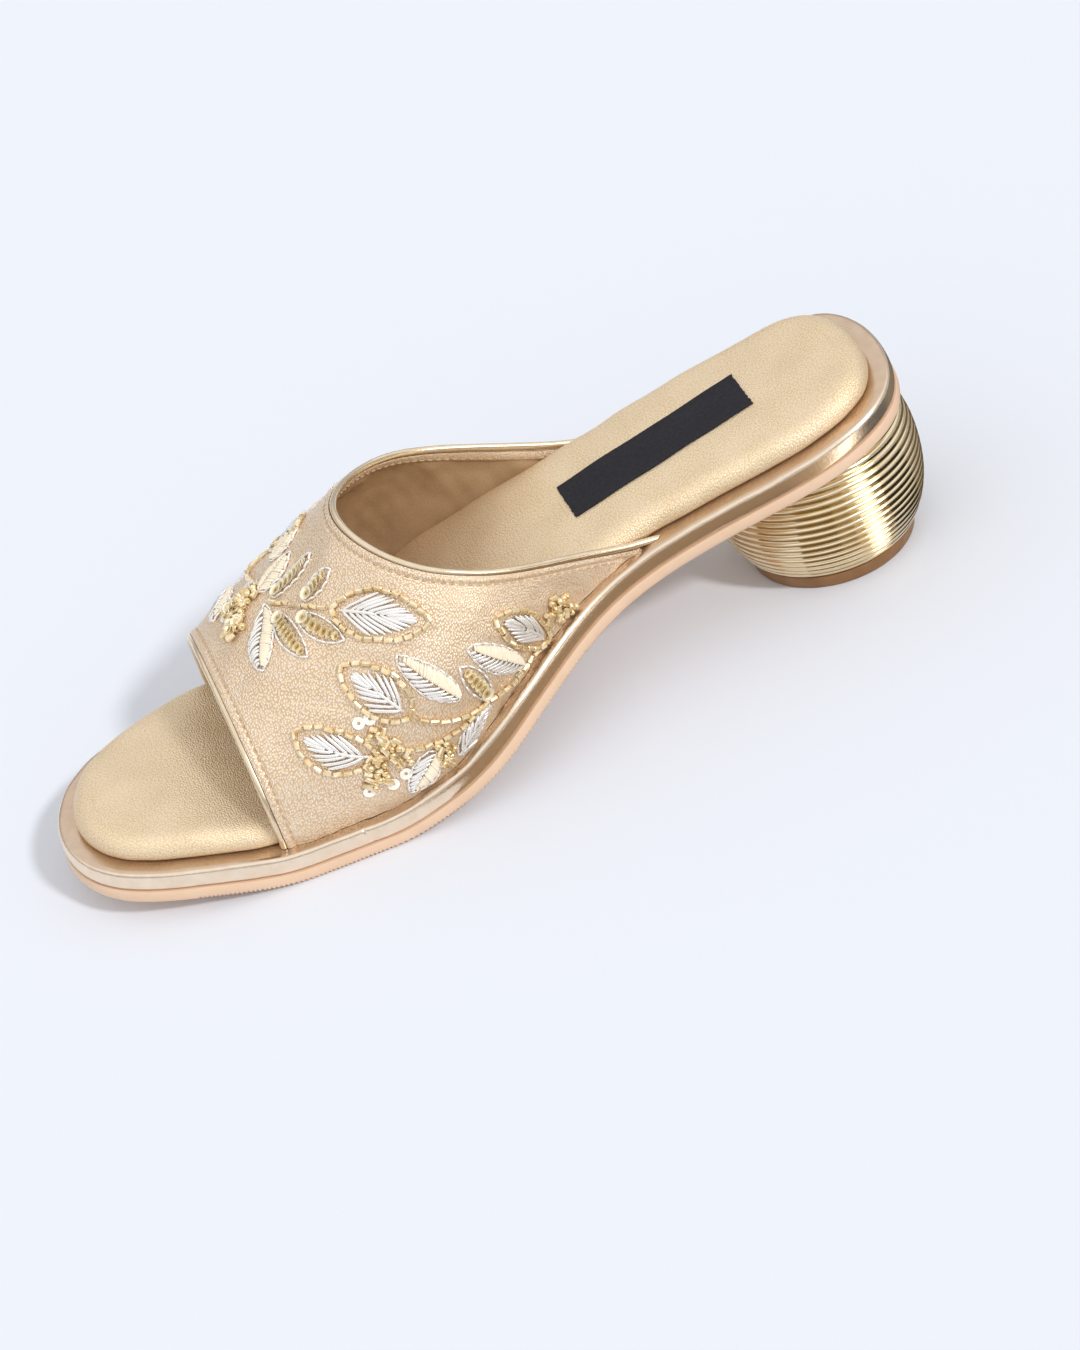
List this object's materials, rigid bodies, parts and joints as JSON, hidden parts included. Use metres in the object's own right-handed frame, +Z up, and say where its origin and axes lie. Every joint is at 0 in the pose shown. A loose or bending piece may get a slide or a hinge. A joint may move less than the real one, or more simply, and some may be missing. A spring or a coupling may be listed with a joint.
{
  "type": "embellished open-toe mule with ball heel",
  "caption": "Right open-toe slip-on mule: gold leather vamp with wire, bead and sequin leaves, padded insole, wrapped rand, thin outsole and a ribbed ball heel.",
  "frame": {"origin": "middle of the overall box in X and Y, on the floor", "axes": "toe towards -Y, heel towards +Y, the shoe's left (medial) side towards +X, +Z up"},
  "size_m": [0.0936, 0.2442, 0.0681],
  "materials": {
    "outsole_rubber": "satin peach",
    "rand_leather": "smooth metallic gold wrap",
    "insole_leather": "fine-grained metallic gold",
    "upper_leather": "pebbled metallic pale gold",
    "piping": "glossy metallic gold",
    "heel_plating": "polished gold plating",
    "heel_tip_rubber": "satin tan",
    "lining": "dull brown gold",
    "thread": "matt gold thread",
    "silver_wire": "bright silver wire",
    "beads": "clear gold glass",
    "sequins": "mirror gold",
    "satin": "cream satin stitch",
    "label": "woven black"
  },
  "bodies": {
    "root": {"outsole": "outsole_rubber", "rand": "rand_leather", "insole": "insole_leather", "upper": "upper_leather", "toe_piping": "piping", "topline_piping": "piping", "heel": "heel_plating", "heel_tip": "heel_tip_rubber"}
  },
  "joints": []
}
